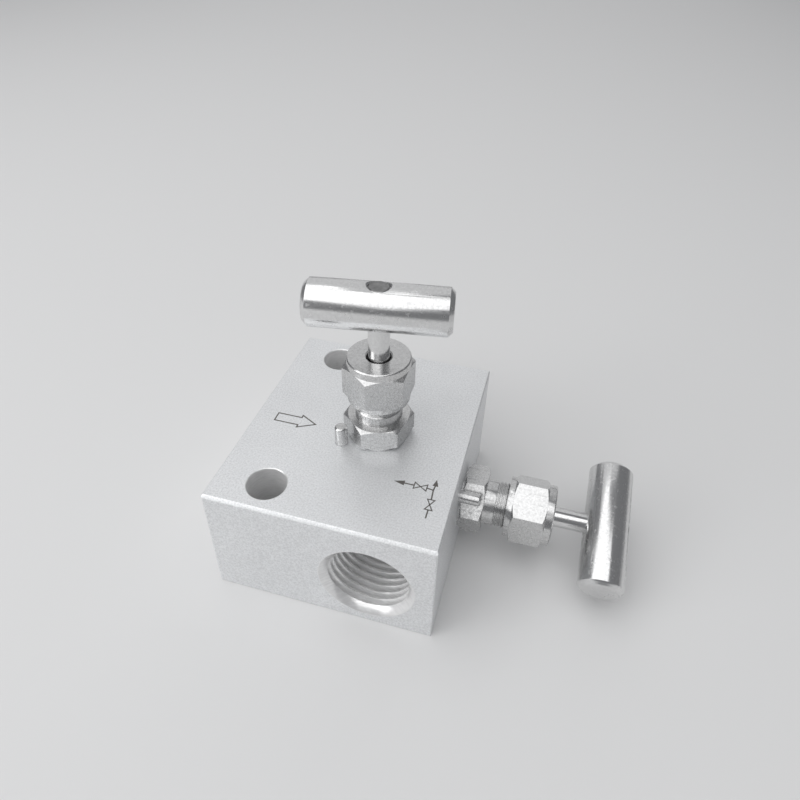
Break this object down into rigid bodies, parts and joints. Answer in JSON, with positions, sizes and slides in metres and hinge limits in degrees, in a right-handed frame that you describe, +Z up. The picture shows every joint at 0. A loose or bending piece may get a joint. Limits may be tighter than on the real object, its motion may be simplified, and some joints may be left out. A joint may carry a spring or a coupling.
{
  "type": "instrument valve manifold",
  "caption": "Compact steel block manifold with an isolate valve and a bleed valve, each with a T-bar handle, between pipe-threaded process and instrument ports.",
  "frame": {"origin": "middle of the block's bottom face", "axes": "+X out along the isolate valve, +Y out of the instrument port, +Z up along the bleed valve"},
  "size_m": [0.0912, 0.0604, 0.0697],
  "materials": {
    "block_steel": "satin, faintly grained",
    "turned_steel": "turned and milled, semi-bright",
    "polished_steel": "polished",
    "hard_tip": "ground",
    "seal_ptfe": "smooth, waxy",
    "black_screw": "black oxide"
  },
  "bodies": {
    "root": {"valve_block": "block_steel", "bleed_bonnet": "turned_steel", "bleed_bonnet_seal": "seal_ptfe", "bleed_packing_washer": "turned_steel", "bleed_packing_rings": "seal_ptfe", "bleed_gland": "turned_steel", "bleed_packing_nut": "turned_steel", "bleed_lock_pin": "turned_steel", "isolate_bonnet": "turned_steel", "isolate_bonnet_seal": "seal_ptfe", "isolate_packing_washer": "turned_steel", "isolate_packing_rings": "seal_ptfe", "isolate_gland": "turned_steel", "isolate_packing_nut": "turned_steel", "isolate_lock_pin": "turned_steel"},
    "bleed_tip": {"bleed_stem_tip": "hard_tip"},
    "bleed_spindle": {"bleed_stem": "polished_steel", "bleed_bar_handle": "polished_steel", "bleed_handle_set_screw": "black_screw"},
    "isolate_tip": {"isolate_stem_tip": "hard_tip"},
    "isolate_spindle": {"isolate_stem": "polished_steel", "isolate_bar_handle": "polished_steel", "isolate_handle_set_screw": "black_screw"}
  },
  "joints": [
    {"name": "bleed_lift", "type": "slide", "parent": "root", "child": "bleed_tip", "axis": [0, 0, 1], "range_m": [0, 0.00363]},
    {"name": "bleed_turn", "type": "hinge", "parent": "bleed_tip", "child": "bleed_spindle", "pos_m": [0.0042, 0, 0.03], "axis": [0, 0, 1], "range_deg": [0, 1440]},
    {"name": "isolate_lift", "type": "slide", "parent": "root", "child": "isolate_tip", "axis": [1, 0, 0], "range_m": [0, 0.00363]},
    {"name": "isolate_turn", "type": "hinge", "parent": "isolate_tip", "child": "isolate_spindle", "pos_m": [0.02575, 0, 0.0137], "axis": [1, 0, 0], "range_deg": [0, 1440]}
  ],
  "couplings": [
    {"joint": "bleed_turn", "follows": "bleed_lift", "rad_per_m": 6926.3},
    {"joint": "isolate_turn", "follows": "isolate_lift", "rad_per_m": 6926.3}
  ]
}
